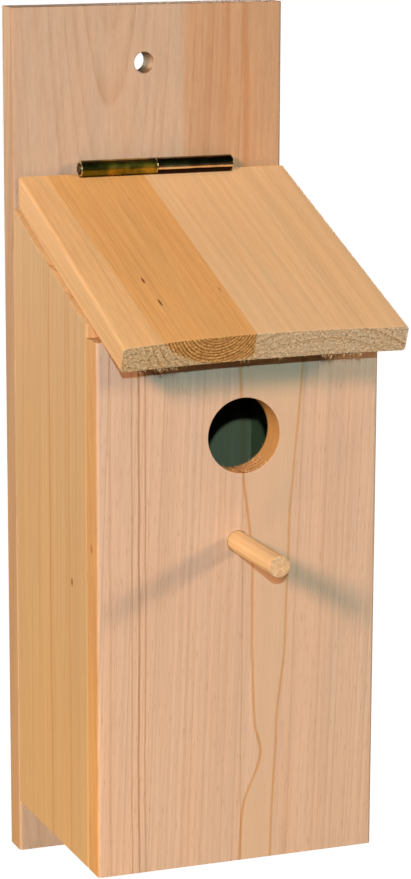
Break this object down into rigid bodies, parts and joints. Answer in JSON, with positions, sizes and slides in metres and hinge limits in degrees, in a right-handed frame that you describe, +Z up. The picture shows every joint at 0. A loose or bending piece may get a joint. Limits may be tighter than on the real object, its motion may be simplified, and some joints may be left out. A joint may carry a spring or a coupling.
{
  "type": "birdhouse",
  "caption": "Wall-hung wooden birdhouse: tall backboard with a hanging hole, glued box with a round entrance and a dowel perch, and a sloping lid on a two-knuckle hinge.",
  "frame": {"origin": "centre of the hanging hole, in the plane of the backboard's rear face, which rests on the wall", "axes": "+Z up, +Y out of the rear face into the wall, front towards -Y, +X to the right seen from the front"},
  "size_m": [0.1105, 0.147, 0.333],
  "materials": {
    "backboard_wood": "planed softwood, untreated",
    "side_wood": "planed softwood, untreated",
    "front_wood": "planed softwood, untreated",
    "floor_wood": "planed softwood, untreated",
    "roof_wood": "planed softwood glued from two strips, untreated",
    "dowel_wood": "smooth turned dowel, untreated",
    "plated_hinge": "bright yellow-passivated plating",
    "plated_screw": "bright yellow-passivated plating",
    "steel_nail": "bright drawn wire"
  },
  "bodies": {
    "box": {"backboard": "backboard_wood", "side_left": "side_wood", "side_right": "side_wood", "front_panel": "front_wood", "floor_panel": "floor_wood", "perch": "dowel_wood", "hinge_leaf_back": "plated_hinge", "hinge_pin": "plated_hinge", "back_leaf_screw_1": "plated_screw", "back_leaf_screw_2": "plated_screw", "back_leaf_screw_3": "plated_screw", "side_left_nail_1": "steel_nail", "side_left_nail_2": "steel_nail", "side_left_nail_3": "steel_nail", "side_right_nail_1": "steel_nail", "side_right_nail_2": "steel_nail", "side_right_nail_3": "steel_nail", "floor_nail_1": "steel_nail", "floor_nail_2": "steel_nail"},
    "lid": {"roof_panel": "roof_wood", "hinge_leaf_roof": "plated_hinge", "roof_leaf_screw_1": "plated_screw", "roof_leaf_screw_2": "plated_screw", "roof_leaf_screw_3": "plated_screw"}
  },
  "joints": [
    {"name": "lid_hinge", "type": "hinge", "parent": "box", "child": "lid", "pos_m": [0.0034, -0.0153, -0.0392], "axis": [-1, 0, 0], "range_deg": [0, 104]}
  ]
}
